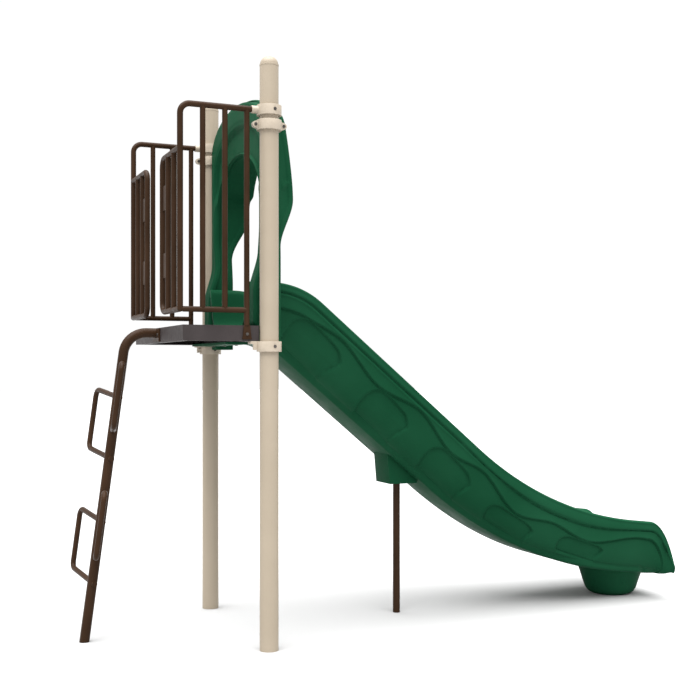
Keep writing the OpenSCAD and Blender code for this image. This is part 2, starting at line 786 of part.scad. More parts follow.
// Point on the pole's axis at a height.
function on_pole(z) = [-pole_foot + z * tan(pole_lean), 0, z];

pole_path = concat(
  [[on_pole(-40), pole_up]],
  rounded_corner([pole_corner[0], 0, pole_corner[1]], pole_up, [1, 0, 0], pole_bend, 10),
  [[[plate_x - plate_t - weld, 0, pole_z], [1, 0, 0]]]);

module climber_pole() {
  color(rail_colour) difference() {
    bent_bar(pole_path, [0, 1, 0], pole_od, 32);
    block([-pole_foot - 100, -100, -100], [-pole_foot + 100, 100, 0]);
  }
}

module climber_plate() {
  color(rail_colour) difference() {
    block([plate_x - plate_t, -60, deck_low + 4], [plate_x, 60, deck_h - 2]);
    for (side = [-1, 1]) translate([plate_x, side * plate_bolt_y, plate_z]) rotate([0, 90, 0])
      cylinder(h = 40, d = bolt_d + 1, center = true);
  }
}

step_pitch = deck_h - step_top - step_h - step_stagger - step_first;

// A step is a bent bar: two rungs that pass through the pole, and a hand bar.
module step_loop(z, side) {
  bend = 34;
  stub = 34;
  out = [-step_back, side * step_reach, step_rise];
  o = out / norm(out);
  low = on_pole(z);
  high = low + step_h * pole_up;
  path = concat(
    [[low - stub * o, o]],
    rounded_corner(low + out, o, pole_up, bend, 7),
    rounded_corner(high + out, pole_up, -o, bend, 7),
    [[high - stub * o, -o]]);
  color(rail_colour) difference() {
    bent_bar(path, cross(pole_up, o) / norm(cross(pole_up, o)), step_od, 20);
    bar(on_pole(z - 200), on_pole(z + step_h + 200), pole_od + 2 * weld);
  }
}

// ---- fasteners ----

module bolt(length) {
  cylinder(h = length, d = bolt_d);
  translate([0, 0, -head_h]) cylinder(h = head_h, d = head_d);
}

// Short screws in the bands of the rail and deck clamps.
module clamp_bolts() {
  color(bolt_colour) for (side = [-1, 1], z = [rail_z, deck_clamp_z], face = [-1, 1])
    translate([clamp_bolt_x, side * post_y + face * (ring_r - 7 + head_h - skin), z]) rotate([face * 90, 0, 0])
      bolt(clamp_t - 10 + head_h - 2 * skin);
}

module hood_clamp_bolts() {
  color(bolt_colour) for (side = [-1, 1], ear = [-1, 1])
    translate([ear * ear_x, side * (post_y + 11 + skin), hood_clamp_z]) rotate([side * 90, 0, 0]) bolt(32);
}

module hood_clamp_nuts() {
  color(bolt_colour) for (side = [-1, 1], ear = [-1, 1])
    translate([ear * ear_x, side * (post_y - 11 - skin), hood_clamp_z]) rotate([side * 90, 0, 0]) difference() {
      cylinder(h = 7, d = head_d + 1, $fn = 6);
      translate([0, 0, -1]) cylinder(h = 9, d = bolt_d + 0.4);
    }
}

module deck_clamp_screws() {
  color(bolt_colour) for (side = [-1, 1])
    translate([deck_screw_x, side * deck_screw_y, deck_clamp_z + clamp_h / 2 - 12 - skin]) bolt(24);
}

module lug_bolts() {
  color(bolt_colour) for (side = [-1, 1])
    translate([-picket_rear, side * (post_y + skin + plate_t + skin), deck_h - fascia_h / 2 - 4])
      rotate([side * 90, 0, 0]) bolt(26);
}

module climber_bolts() {
  color(bolt_colour) for (side = [-1, 1])
    translate([plate_x - plate_t - skin, side * plate_bolt_y, plate_z]) rotate([0, 90, 0]) bolt(26);
}

module slide_bolts() {
  color(bolt_colour) for (y = tongue_bolts)
    translate([tongue_bolt_x, y, deck_low - flange_t - 2 * skin]) bolt(28);
}

// ---- the pieces ----

// The origin is on the ground, in the middle of the whole footprint.
centre_x = (nose_x + nose_l - pole_foot - pole_od / 2 / cos(pole_lean)) / 2;

module centred() {
  translate([-centre_x, 0, 0]) children();
}

module place_clamp(z) {
  translate([0, -post_y, z]) children();
}

centred() translate([0, -post_y, 0]) post();  // near_post
centred() translate([0, post_y, 0]) post();  // far_post
centred() translate([0, -post_y, 0]) post_cap();  // near_post_cap
centred() translate([0, post_y, 0]) post_cap();  // far_post_cap
centred() deck_pan();
centred() deck_stiffeners();
centred() place_clamp(deck_clamp_z) deck_clamp_arm();  // near_deck_clamp_arm
centred() place_clamp(deck_clamp_z) clamp_strap();  // near_deck_clamp_strap
centred() on_side(true) place_clamp(deck_clamp_z) deck_clamp_arm();  // far_deck_clamp_arm
centred() on_side(true) place_clamp(deck_clamp_z) clamp_strap();  // far_deck_clamp_strap
centred() place_clamp(rail_z) rail_clamp_arm();  // near_rail_clamp_arm
centred() place_clamp(rail_z) clamp_strap();  // near_rail_clamp_strap
centred() on_side(true) place_clamp(rail_z) rail_clamp_arm();  // far_rail_clamp_arm
centred() on_side(true) place_clamp(rail_z) clamp_strap();  // far_rail_clamp_strap
centred()  // near_hood_clamp_inner
  color(cast_colour) place_clamp(hood_clamp_z) hood_clamp_half(false);
centred()  // near_hood_clamp_outer
  color(cast_colour) place_clamp(hood_clamp_z) hood_clamp_half(true);
centred()  // far_hood_clamp_inner
  color(cast_colour) on_side(true) place_clamp(hood_clamp_z) hood_clamp_half(false);
centred()  // far_hood_clamp_outer
  color(cast_colour) on_side(true) place_clamp(hood_clamp_z) hood_clamp_half(true);
centred() barrier_hoop();  // near_barrier_hoop
centred() on_side(true) barrier_hoop();  // far_barrier_hoop
centred() barrier_pickets();  // near_barrier_pickets
centred() on_side(true) barrier_pickets();  // far_barrier_pickets
centred() bottom_rail();  // near_bottom_rail
centred() on_side(true) bottom_rail();  // far_bottom_rail
centred() barrier_lug();  // near_barrier_lug
centred() on_side(true) barrier_lug();  // far_barrier_lug
centred() wing_hoop();  // near_wing_hoop
centred() on_side(true) wing_hoop();  // far_wing_hoop
centred() wing_pickets();  // near_wing_pickets
centred() on_side(true) wing_pickets();  // far_wing_pickets
centred() wing_tabs();  // near_wing_tabs
centred() on_side(true) wing_tabs();  // far_wing_tabs
centred() slide_body();
centred() entry_flange();
centred() slide_hood();
centred() leg_block();
centred() support_leg();
centred() exit_foot();
centred() climber_pole();
centred() climber_plate();
centred() step_loop(step_first, 1);  // step_loop_1
centred() step_loop(step_first + step_stagger, -1);  // step_loop_2
centred() step_loop(step_first + step_pitch, 1);  // step_loop_3
centred() step_loop(step_first + step_pitch + step_stagger, -1);  // step_loop_4
centred() clamp_bolts();
centred() hood_clamp_bolts();
centred() hood_clamp_nuts();
centred() deck_clamp_screws();
centred() lug_bolts();
centred() climber_bolts();
centred() slide_bolts();
centred() block_screws();
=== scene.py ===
import bmesh
import bpy
import json
import math
import numpy as np
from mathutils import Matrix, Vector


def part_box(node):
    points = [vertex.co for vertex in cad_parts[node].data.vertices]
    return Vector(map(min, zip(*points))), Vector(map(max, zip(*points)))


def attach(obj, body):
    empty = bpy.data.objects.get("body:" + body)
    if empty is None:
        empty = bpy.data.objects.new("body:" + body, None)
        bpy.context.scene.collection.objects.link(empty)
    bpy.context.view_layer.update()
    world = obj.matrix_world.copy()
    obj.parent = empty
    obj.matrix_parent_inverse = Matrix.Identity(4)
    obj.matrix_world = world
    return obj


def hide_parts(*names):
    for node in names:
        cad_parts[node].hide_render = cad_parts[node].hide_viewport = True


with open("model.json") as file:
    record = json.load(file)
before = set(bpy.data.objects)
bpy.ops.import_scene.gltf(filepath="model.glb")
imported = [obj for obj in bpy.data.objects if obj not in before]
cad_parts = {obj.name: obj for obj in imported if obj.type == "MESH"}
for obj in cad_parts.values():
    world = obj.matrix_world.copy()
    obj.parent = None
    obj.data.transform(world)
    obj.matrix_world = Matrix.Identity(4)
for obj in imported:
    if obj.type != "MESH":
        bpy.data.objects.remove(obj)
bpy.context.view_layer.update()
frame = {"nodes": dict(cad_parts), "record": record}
nodes = frame["nodes"]
slotOf = {part["node"]: part["material_slot"] for part in frame["record"]["subparts"]}
print("frame loaded with", len(nodes), "nodes")

# Sizes that everything is placed from, in metres
postLow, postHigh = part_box("near_post")
postX = ((postLow + postHigh) / 2).x
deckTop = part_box("deck_pan")[1].z
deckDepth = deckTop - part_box("deck_pan")[0].z

# View, floor and light

view = {
    "back": 1.678,       # from the post line, away from the slide
    "side": 5.420,       # from the middle of the slide, on the near side
    "height": 1.324,
    "turn": 23.03,       # degrees to the right of straight across
    "lens": 56.74,       # millimetres
    "film": 36,
    "shiftUp": 0.0262,
}

camera = bpy.data.objects.new("camera", bpy.data.cameras.new("camera"))
bpy.context.scene.collection.objects.link(camera)
camera.location = (postX - view["back"], -view["side"], view["height"])
camera.rotation_euler = (math.radians(90), 0, -math.radians(view["turn"]))
camera.data.lens = view["lens"]
camera.data.sensor_width = view["film"]
camera.data.shift_y = view["shiftUp"]
bpy.context.scene.camera = camera

studio = {
    "sky": 1.02,             # strength of the white surround
    "top": 8.8,              # strength of the broad overhead light
    "topWide": 75.0,         # degrees it spans
    "topLean": (10.0, -8.0),   # degrees it leans to the near side and to the entry
}

overhead = bpy.data.lights.new("overhead", "SUN")
overhead.energy = studio["top"]
overhead.angle = math.radians(studio["topWide"])
lamp = bpy.data.objects.new("overhead", overhead)
bpy.context.scene.collection.objects.link(lamp)
lamp.rotation_euler = [math.radians(lean) for lean in studio["topLean"]] + [0]

world = bpy.data.worlds.new("surround")
bpy.context.scene.world = world
world.use_nodes = True
world.node_tree.nodes["Background"].inputs["Color"].default_value = (1, 1, 1, 1)
world.node_tree.nodes["Background"].inputs["Strength"].default_value = studio["sky"]
bpy.context.scene.view_settings.view_transform = "Standard"
print("view and light are set")

# Finishes


def startMaterial(name):
    material = bpy.data.materials.new(name)
    material.use_nodes = True
    return material, material.node_tree.nodes["Principled BSDF"]


def addNode(material, kind, **values):
    node = material.node_tree.nodes.new(kind)
    for key, value in values.items():
        if hasattr(node, key):
            setattr(node, key, value)
        else:
            node.inputs[key.replace("_", " ")].default_value = value
    return node


def join(material, fromSocket, toSocket):
    material.node_tree.links.new(fromSocket, toSocket)


def noise(material, scale, detail=2.0):
    place = addNode(material, "ShaderNodeTexCoord")
    texture = addNode(material, "ShaderNodeTexNoise", Scale=scale, Detail=detail)
    join(material, place.outputs["Object"], texture.inputs["Vector"])
    return texture.outputs["Fac"]


def spread(material, source, low, high, start=0.3, end=0.7):
    step = addNode(material, "ShaderNodeMapRange")
    step.inputs["From Min"].default_value = start
    step.inputs["From Max"].default_value = end
    step.inputs["To Min"].default_value = low
    step.inputs["To Max"].default_value = high
    join(material, source, step.inputs["Value"])
    return step.outputs["Result"]


def blendTones(material, amount, dark, light):
    blend = addNode(material, "ShaderNodeMix", data_type="RGBA")
    blend.inputs["A"].default_value = (*dark, 1)
    blend.inputs["B"].default_value = (*light, 1)
    join(material, amount, blend.inputs["Factor"])
    return blend.outputs["Result"]


# Tones are linear. A patch, a speck and a grain are the scales of the noise that tints and roughens.
finishes = {
    "post": {
        "dark": (0.290, 0.243, 0.182), "light": (0.325, 0.273, 0.208), "patch": 3.0, "speck": 900,
        "rough": (0.40, 0.52), "grain": 420, "grainDepth": 0.00022, "gloss": 0.3, "metal": 0.0,
    },
    "cast": {
        "dark": (0.345, 0.293, 0.228), "light": (0.405, 0.345, 0.272), "patch": 18.0, "speck": 700,
        "rough": (0.36, 0.5), "grain": 260, "grainDepth": 0.0004, "gloss": 0.4, "metal": 0.0,
    },
    "rail": {
        "dark": (0.022, 0.0105, 0.0045), "light": (0.034, 0.0165, 0.0080), "patch": 5.0, "speck": 800,
        "rough": (0.33, 0.46), "grain": 380, "grainDepth": 0.00022, "gloss": 0.08, "metal": 0.0,
    },
    "deck": {
        "dark": (0.024, 0.019, 0.019), "light": (0.036, 0.029, 0.029), "patch": 9.0, "speck": 500,
        "rough": (0.48, 0.62), "grain": 150, "grainDepth": 0.0007, "gloss": 0.2, "metal": 0.0,
    },
    "moulded": {
        "dark": (0.0048, 0.044, 0.0190), "light": (0.0085, 0.058, 0.0270), "patch": 2.2, "speck": 1000,
        "rough": (0.40, 0.54), "grain": 520, "grainDepth": 0.00028, "gloss": 0.015, "metal": 0.0,
    },
    "bolt": {
        "dark": (0.035, 0.030, 0.027), "light": (0.075, 0.066, 0.060), "patch": 60.0, "speck": 1500,
        "rough": (0.28, 0.42), "grain": 900, "grainDepth": 0.0001, "gloss": 0.4, "metal": 0.3,
    },
}


def makeFinish(name, look):
    material, shader = startMaterial(name)
    broad = spread(material, noise(material, look["patch"], 3.0), 0.0, 1.0)
    fine = spread(material, noise(material, look["speck"], 1.0), -0.25, 0.25, 0.25, 0.75)
    both = addNode(material, "ShaderNodeMath", operation="ADD", use_clamp=True)
    join(material, broad, both.inputs[0])
    join(material, fine, both.inputs[1])
    tones = blendTones(material, both.outputs[0], look["dark"], look["light"])
    join(material, tones, shader.inputs["Base Color"])
    rough = spread(material, noise(material, look["patch"] * 4, 4.0), *look["rough"])
    join(material, rough, shader.inputs["Roughness"])
    bump = addNode(material, "ShaderNodeBump", Strength=0.7, Distance=look["grainDepth"])
    join(material, noise(material, look["grain"], 3.0), bump.inputs["Height"])
    join(material, bump.outputs["Normal"], shader.inputs["Normal"])
    shader.inputs["Specular IOR Level"].default_value = look["gloss"]
    shader.inputs["Metallic"].default_value = look["metal"]
    return material


finish = {name: makeFinish("finish_" + name, look) for name, look in finishes.items()}


def paint(piece, slotName):
    piece.data.materials.clear()
    piece.data.materials.append(finish[slotName])


for name, node in nodes.items():
    paint(node, slotOf[name])
print("finishes are on the frame")

# Mesh helpers


def smooth(t):
    t = np.clip(t, 0.0, 1.0)
    return t * t * (3 - 2 * t)


def mix(a, b, t):
    return a + (b - a) * t


def dent(distance, width):
    return np.exp(-(distance / width) ** 2)


def through(points, count):
    # A smooth line through a few points, with the same number of steps between each pair
    p = np.array(points, float)
    p = np.vstack([2 * p[0] - p[1], p, 2 * p[-1] - p[-2]])
    rows = []
    for i in range(1, len(p) - 2):
        for k in range(count):
            t = k / count
            a = 2 * p[i]
            b = p[i + 1] - p[i - 1]
            c = 2 * p[i - 1] - 5 * p[i] + 4 * p[i + 1] - p[i + 2]
            d = -p[i - 1] + 3 * p[i] - 3 * p[i + 1] + p[i + 2]
            rows.append(0.5 * (a + b * t + c * t * t + d * t ** 3))
    rows.append(p[-2])
    return np.array(rows)


def curveBetween(a, b, c, t):
    return (1 - t) ** 2 * a + 2 * t * (1 - t) * b + t * t * c


def skin(name, rings, slotName, replaced):
    # Rings that have the same number of points become one closed, smooth piece
    count = len(rings[0])
    points = np.vstack(rings)
    faces = []
    for i in range(len(rings) - 1):
        for j in range(count):
            k = (j + 1) % count
            faces.append((i * count + j, i * count + k, (i + 1) * count + k, (i + 1) * count + j))
    faces.append(tuple(range(count))[::-1])
    last = (len(rings) - 1) * count
    faces.append(tuple(last + j for j in range(count)))
    mesh = bpy.data.meshes.new(name)
    mesh.from_pydata([tuple(p) for p in points], [], faces)
    mesh.polygons.foreach_set("use_smooth", [True] * len(faces))
    mesh.update()
    piece = bpy.data.objects.new(name, mesh)
    bpy.context.scene.collection.objects.link(piece)
    paint(piece, slotName)
    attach(piece, "root")
    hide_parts(*replaced)
    return piece


# Slide

slide = {
    "slope": 40.0,           # degrees
    "exitSlope": 7.0,
    "bendFrom": 0.076,       # from the post line to the top bend
    "topBend": 0.190,
    "exitBend": 2.130,
    "exitRun": 0.110,
    "exitHeight": 0.235,
    "wall": 0.221,           # from the bed to the rim
    "thick": 0.052,          # of the side walls
    "under": 0.079,          # from the bed to the underside
    "exitUnder": 0.086,
    "exitRound": 0.6,        # the side is less round at the exit
    "nose": 0.205,
    "noseRings": 60,
    # Where the nose ends, back from its reach and above its start: rim, bed and underside
    "noseRim": (0.012, 0.050),
    "noseBed": (0.030, 0.022),
    "noseLow": (0.058, -0.014),
    "roll": 0.026,           # how far the end rolls out
    "step": 0.007,           # between two rings
    "sideRows": 96,          # rows of points down a side
    "follow": 1.15,          # how soon the exit's shape is reached
}

relief = {
    "crease": 0.045,         # groove under the rim, below its top
    "creaseExit": 0.080,
    "creaseNose": 0.055,
    "grooveWide": 0.0055,
    "grooveDeep": 0.0085,
    "shoulder": 0.011,       # how far the zone above the wave stands out
    "step": 0.013,           # the side steps in below the wave
    "stepHigh": 0.010,
    "tuck": 0.004,
    "waveGroove": 0.0075,    # under the wave line
    "waveGrooveWide": 0.0048,
    "panelDeep": 0.013,
    "panelEdge": 0.012,      # the slope down into a panel
    "panelGroove": 0.0095,
    "panelGrooveWide": 0.0042,
    "panelReach": 0.06,      # a panel changes nothing further off along the bed
    "edge": 0.036,           # groove along the lower edge, above it
    "edgeDeep": 0.003,
    "plain": 0.003,          # inset at the rim and on the nose
    # The wave line as crests and troughs: metres along the bed, metres below the rim
    "wave": [(0.15, 0.124), (0.458, 0.077), (0.750, 0.125), (1.027, 0.071), (1.303, 0.126), (1.520, 0.085),
             (1.842, 0.168), (2.085, 0.124), (2.330, 0.158), (2.690, 0.096), (2.90, 0.110)],
    # Leaf panels: start along the bed, length, top and bottom below the rim
    "panels": [(0.188, 0.332, 0.118, 0.345), (0.725, 0.290, 0.132, 0.345),
               (1.182, 0.318, 0.141, 0.344), (1.655, 0.316, 0.188, 0.318), (2.146, 0.304, 0.169, 0.274)],
    # One panel's outline, as shares of its length and height
    "leaf": [(0.02, 0.97), (0.03, 0.55), (0.08, 0.22), (0.20, 0.03), (0.34, 0.0), (0.62, 0.02),
             (0.86, 0.07), (0.99, 0.22), (0.99, 0.38), (0.84, 0.90), (0.76, 1.0)],
    "height": (0.393, 0.307),   # of the side as it shows, on the slope and at the exit
}

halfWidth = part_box("slide_body")[1].y
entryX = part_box("slide_body")[0].x - postX


def bedLine():
    # Points along the bed from the post line, each as x, z, angle and length so far
    slope = math.radians(slide["slope"])
    last = math.radians(slide["exitSlope"])
    turn, bend = slide["topBend"], slide["exitBend"]
    drop = deckTop - slide["exitHeight"] - turn * (1 - math.cos(slope))
    drop -= bend * (math.cos(last) - math.cos(slope)) + slide["exitRun"] * math.sin(last)
    rows = [(entryX, deckTop, 0.0, 0.0)]

    def stretch(length, angleFrom, angleTo):
        x, z, _, soFar = rows[-1]
        count = max(2, round(length / slide["step"]))
        for k in range(1, count + 1):
            t = k / count
            angle = mix(angleFrom, angleTo, t)
            mid = (angleFrom + angle) / 2
            flat = length * t * np.sinc((angle - angleFrom) / 2 / math.pi)
            rows.append((x + flat * math.cos(mid), z - flat * math.sin(mid), angle, soFar + length * t))

    stretch(slide["bendFrom"] - entryX, 0, 0)
    stretch(turn * slope, 0, slope)
    marks = {"top": rows[-1]}
    stretch(drop / math.sin(slope), slope, slope)
    marks["end"] = rows[-1]
    stretch(bend * (slope - last), slope, last)
    stretch(slide["exitRun"], last, last)
    marks["nose"] = rows[-1]
    return rows, marks


def exitShare(x, marks):
    share = (x - marks["end"][0]) / (marks["nose"][0] - marks["end"][0])
    return float(smooth(share * slide["follow"]))


def ringLines():
    # Bottom, bed and rim of each ring in the XZ plane, the length along the bed and the angle
    rows, marks = bedLine()
    top, nose = marks["top"], marks["nose"]
    lines = []
    for x, z, angle, along in rows:
        up = np.array([math.sin(angle), math.cos(angle)])
        if x < top[0]:
            under = mix(deckDepth, slide["under"], float(smooth((x - entryX) / (top[0] - entryX))))
        else:
            under = mix(slide["under"], slide["exitUnder"], exitShare(x, marks))
        bed = np.array([x, z])
        lines.append((bed - under * up, bed, bed + slide["wall"] * up, along, angle))
    start = np.array(nose[:2])
    up = np.array([math.sin(nose[2]), math.cos(nose[2])])
    rim, low = start + slide["wall"] * up, start - slide["exitUnder"] * up
    long = slide["nose"]
    ends = [np.array([start[0] + long - back, low[1] + high])
            for back, high in (slide["noseLow"], slide["noseBed"], slide["noseRim"])]
    # The middle of each curve leads the underside, the bed and the rim forward
    leads = [low + (long * 0.5, -long * 0.06), start + (long * 0.62, -0.008), rim + (0, -0.004)]
    leads[2][0] = start[0] + long * 0.64
    for k in range(1, slide["noseRings"] + 1):
        t = k / slide["noseRings"]
        curves = [curveBetween(*curve, t) for curve in zip((low, start, rim), leads, ends)]
        lines.append((*curves, nose[3] + long * t, nose[2]))
    return lines, marks


def waveDepth(along):
    knots = np.array(relief["wave"])
    i = np.clip(np.searchsorted(knots[:, 0], along) - 1, 0, len(knots) - 2)
    a, b = knots[i], knots[i + 1]
    return mix(a[..., 1], b[..., 1], smooth((along - a[..., 0]) / (b[..., 0] - a[..., 0])))


def creaseDepth(along, noseFrom):
    atExit = smooth((along - 1.25) / 0.8)
    nose = smooth((along - 2.25) / (noseFrom - 2.25))
    return mix(mix(relief["crease"], relief["creaseExit"], atExit), relief["creaseNose"], nose)


def fromLeaf(along, depth, panel):
    # Distance to a panel's outline, negative inside
    start, length, top, bottom = panel
    corners = through(relief["leaf"] + relief["leaf"][:1], 5)[:-1]
    px = start + corners[:, 0] * length
    py = top + corners[:, 1] * (bottom - top)
    best = np.full(depth.shape, 1e9)
    inside = np.zeros(depth.shape, bool)
    for i in range(len(px)):
        j = (i + 1) % len(px)
        ex, ey = px[j] - px[i], py[j] - py[i]
        wx, wy = along - px[i], depth - py[i]
        t = np.clip((wx * ex + wy * ey) / (ex * ex + ey * ey), 0, 1)
        best = np.minimum(best, np.hypot(wx - ex * t, wy - ey * t))
        if px[i] != px[j]:
            crosses = (px[i] > along) != (px[j] > along)
            inside ^= crosses & (depth < py[i] + (along - px[i]) / (px[j] - px[i]) * ey)
    return np.where(inside, -best, best)


def sideInset(along, depth, height, noseFrom):
    # How far the outer face lies in from its plain shape
    wave = waveDepth(along)
    crease = creaseDepth(along, noseFrom)
    fade = 1 - smooth((along - noseFrom - 0.07) / 0.11)
    lean = np.clip((depth - crease) / np.maximum(wave - crease, 0.02), 0, 1)
    upper = np.where(depth < crease, relief["plain"], relief["shoulder"] * (1 - lean))
    upper = upper + relief["grooveDeep"] * dent(depth - crease, relief["grooveWide"])
    lower = relief["step"] + relief["tuck"] * smooth((depth - wave) / 0.12)
    inset = mix(upper, lower, smooth((depth - wave) / relief["stepHigh"] + 0.5))
    below = depth - wave - relief["stepHigh"] / 2
    inset = inset + relief["waveGroove"] * dent(below, relief["waveGrooveWide"])
    edge = depth - height + relief["edge"]
    inset = inset + relief["edgeDeep"] * dent(edge, 0.007) - lower * smooth(edge / 0.02)
    reach = relief["panelReach"]
    for panel in relief["panels"]:
        start, length, top, bottom = panel
        if along.max() > start - reach and along.min() < start + length + reach:
            away = fromLeaf(along, depth, panel)
            # A panel runs out towards its lower far corner
            across = (along - start) / length + (depth - top) / (bottom - top)
            weak = 1 - 0.75 * smooth((across - 1.45) / 0.45)
            inset = inset + relief["panelDeep"] * smooth(0.5 - away / relief["panelEdge"]) * weak
            inset = inset + relief["panelGroove"] * dent(away, relief["panelGrooveWide"]) * weak
    return mix(relief["plain"], inset, fade)


def halfRing(line, marks):
    # Half of the section, from the middle of the underside round the side and the rim to the bed
    bottom, bed, rim, along, angle = line
    height = float(np.linalg.norm(rim - bottom))
    b = float(np.linalg.norm(bed - bottom))
    wide, thick = halfWidth, slide["thick"]
    q = min(1.0, max(0.001, height - b) / 0.130)
    out = exitShare(bed[0], marks)
    roundness = mix(1, slide["exitRound"], out)
    shape = through([
        (wide - 0.003, height - 0.008 * q), (wide, height - 0.036 * q),
        (wide - 0.001, height - 0.060 * q),
        (wide - 0.010 * roundness, height * 0.75), (wide - 0.028 * roundness, height * 0.567),
        (wide - 0.055 * roundness, height * 0.333), (wide - 0.095 * roundness, height * 0.15),
        (wide - 0.150 * roundness, height * 0.04), (wide - 0.214 * roundness, 0)], 12)
    # The same outline again, in even steps
    walked = np.concatenate([[0], np.cumsum(np.hypot(*np.diff(shape, axis=0).T))])
    even = np.linspace(0, walked[-1], slide["sideRows"])
    side = np.stack([np.interp(even, walked, shape[:, 0]), np.interp(even, walked, shape[:, 1])], 1)
    ahead = np.gradient(side, axis=0)
    normal = np.stack([-ahead[:, 1], ahead[:, 0]], 1) / np.hypot(ahead[:, 0], ahead[:, 1])[:, None]
    # The pattern lies where it shows on the full width from the near side
    back = wide - side[:, 0]
    turn = (bed[0] + view["back"]) / (view["side"] - wide) * back
    fall = (view["height"] - bed[1]) / (view["side"] - wide) * back
    seenAlong = along - math.cos(angle) * turn - math.sin(angle) * fall
    seenDepth = height - side[:, 1] + math.sin(angle) * turn - math.cos(angle) * fall
    inset = sideInset(seenAlong, seenDepth, mix(*relief["height"], out), marks["nose"][3])
    ends = smooth(even / 0.012) * smooth((walked[-1] - even) / 0.05) * q
    face = (side - normal * (inset * ends)[:, None])[::-1]
    wall = wide - thick
    rimAndBed = through([
        tuple(face[-1]), (wide - 0.011, height - 0.0028 * q), (wide - 0.024, height),
        (wide - 0.036, height - 0.004 * q), (wide - 0.046, height - 0.0145 * q),
        (wall, height - 0.034 * q), (wall - 0.010, mix(b, height, 0.45)),
        (wall - 0.024, mix(b, height, 0.2)), (wall - 0.048, mix(b, height, 0.07)),
        (wall - 0.092, mix(b, height, 0.012)), ((wall - 0.092) * 0.5, b), (0, b)], 4)[1:]
    return np.vstack([[(0.0, 0.0)], face, rimAndBed]), (rim - bottom) / height, bottom


def buildSlide():
    lines, marks = ringLines()
    rings = []
    for line in lines:
        half, up, bottom = halfRing(line, marks)
        whole = np.vstack([half, half[-2:0:-1] * (-1, 1)])
        rings.append(np.stack([
            postX + bottom[0] + up[0] * whole[:, 1], whole[:, 0], bottom[1] + up[1] * whole[:, 1]], 1))
    # The nose ends in a soft roll
    last = rings[-1]
    centre = last.mean(0)
    out = np.array([up[1], 0, -up[0]])
    rolls = 5
    for k in range(1, rolls + 1):
        turn = math.radians(90 * k / rolls)
        shrink = np.array([math.cos(turn), mix(1, 0.985, math.sin(turn)), math.cos(turn)])
        rings.append(centre + (last - centre) * shrink + out * slide["roll"] * math.sin(turn))
    return skin("slide_shell", rings, "moulded", ["slide_body"])


slideShell = buildSlide()
print("slide is built with", len(slideShell.data.vertices), "points")

# Hood

hood = {
    "crown": 1.152,          # above the deck
    "spring": 0.966,         # where the outside turns into the arch
    "open": 0.887,           # top of the opening above the deck
    "openSpring": 0.600,
    "straight": 0.2,         # share of the arch that is still straight outside
    "leg": 0.100,            # thickness of a leg at the deck
    "legHigh": 0.066,        # and higher up
    "drop": 0.099,
    "front": 0.012,          # from the post line, towards the deck
    "frontFlare": 0.042,
    "depth": 0.084,          # from the post line, down the slide
    "bulge": 0.168,
    "bulgeAt": (0.38, 0.625, 1.15),   # above the deck: where the wings start, peak and end
    "topBack": 0.034,        # the crown is less deep
    "round": 0.015,          # edge radius
    "roundTop": 0.055,       # and on the outside of the crown's front
    "lip": 0.024,            # width of the raised edges
    "lipHigh": 0.007,
    "lean": 0.060,           # the rear of the wings leans in
    "leanAt": (0.30, 0.66, 1.10),
    "visor": 0.065,          # how far the opening drops to the rear
    "step": (0.46, 0.022),   # in the front of the crown: share of its thickness, depth
    # Oval pad on a wing: from the post line, above the deck, half sizes, degrees of turn
    "pad": (0.117, 0.686, 0.026, 0.015, 35.0),
    "padHigh": 0.009,
    "legRings": 90,
    "archRings": 90,
}

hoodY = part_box("slide_hood")[1].y


def bump(z, low, mid, high):
    return np.where(z < mid, smooth((z - low) / (mid - low)), smooth((high - z) / (high - mid)))


def hoodFront(up):
    return -hood["front"] - hood["frontFlare"] * smooth((0.360 - up) / 0.2) * smooth((up + 0.04) / 0.06)


def hoodRear(up):
    rear = hood["depth"] + (hood["bulge"] - hood["depth"]) * bump(up, *hood["bulgeAt"])
    return rear - hood["topBack"] * smooth((up - 1.0) / 0.17)


def hoodSection():
    # Round the section: share of the depth, share of the thickness and the corner offsets to both
    r = hood["round"]
    corner = [math.radians(90 * k / 4) for k in range(4)]
    sides, ends = 30, 24   # points along the outside and the inside, and along the front and the rear
    points = [(0, 0, r - r * math.cos(a), r - r * math.sin(a)) for a in corner]
    points += [(k / sides, 0, r * (1 - 2 * k / sides), 0) for k in range(sides)]
    points += [(1, 0, -r + r * math.sin(a), r - r * math.cos(a)) for a in corner]
    points += [(1, k / ends, 0, r * (1 - 2 * k / ends)) for k in range(ends)]
    points += [(1, 1, -r + r * math.cos(a), -r + r * math.sin(a)) for a in corner]
    points += [(1 - k / sides, 1, -r * (1 - 2 * k / sides), 0) for k in range(sides)]
    points += [(0, 1, r - r * math.sin(a), -r + r * math.cos(a)) for a in corner]
    points += [(0, 1 - k / ends, 0, -r * (1 - 2 * k / ends)) for k in range(ends)]
    return np.array(points)


